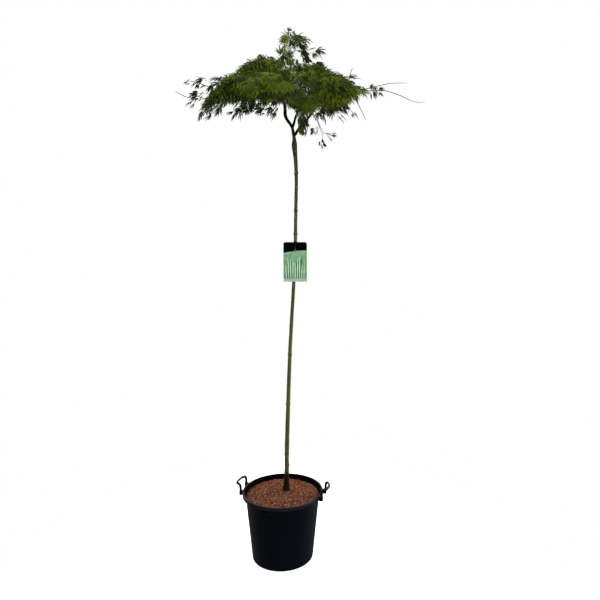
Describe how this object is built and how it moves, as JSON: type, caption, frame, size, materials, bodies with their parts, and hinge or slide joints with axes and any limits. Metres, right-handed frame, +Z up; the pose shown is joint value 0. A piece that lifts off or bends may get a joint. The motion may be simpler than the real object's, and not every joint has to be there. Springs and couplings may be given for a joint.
{
  "type": "potted maple",
  "caption": "Weeping cut-leaf maple on a tall clear stem, planted in a black nursery pot with strap handles and bark mulch, with a plain hang tag tied to the stem.",
  "frame": {"origin": "middle of the pot's flat underside", "axes": "+Z up along the stem, +Y away from the viewer, +X to the viewer's right"},
  "size_m": [1.2197, 0.7792, 2.5942],
  "materials": {
    "pot_plastic": "satin",
    "bark_mulch": "rough",
    "green_bark": "smooth bark",
    "dark_bark": "smooth bark",
    "leaves": "matte",
    "tag_card": "printed gloss",
    "tag_strap": "matte"
  },
  "bodies": {
    "root": {"bough_left": "dark_bark", "bough_middle": "dark_bark", "bough_right": "dark_bark", "foliage_back": "leaves", "foliage_back_left": "leaves", "foliage_back_right": "leaves", "foliage_core": "leaves", "foliage_crest_left": "leaves", "foliage_crest_right": "leaves", "foliage_front": "leaves", "foliage_front_left": "leaves", "foliage_front_outer": "leaves", "foliage_front_right": "leaves", "foliage_front_shoulder": "leaves", "foliage_hanging": "leaves", "foliage_low_right": "leaves", "foliage_shoulder_left": "leaves", "foliage_shoulder_right": "leaves", "foliage_tip_left": "leaves", "foliage_tip_right": "leaves", "foliage_top": "leaves", "foliage_top_side": "leaves", "handle_left": "pot_plastic", "handle_right": "pot_plastic", "hang_tag": "tag_card", "label_strip": "pot_plastic", "leader": "dark_bark", "pot": "pot_plastic", "root_ball": "bark_mulch", "stem": "green_bark", "tag_strap": "tag_strap", "whip_left": "dark_bark", "whip_left_upper": "dark_bark", "whip_right": "dark_bark", "whip_right_inner": "dark_bark", "whip_right_low": "dark_bark", "whip_right_upper": "dark_bark", "whip_top": "dark_bark", "whip_under": "dark_bark"}
  },
  "joints": []
}
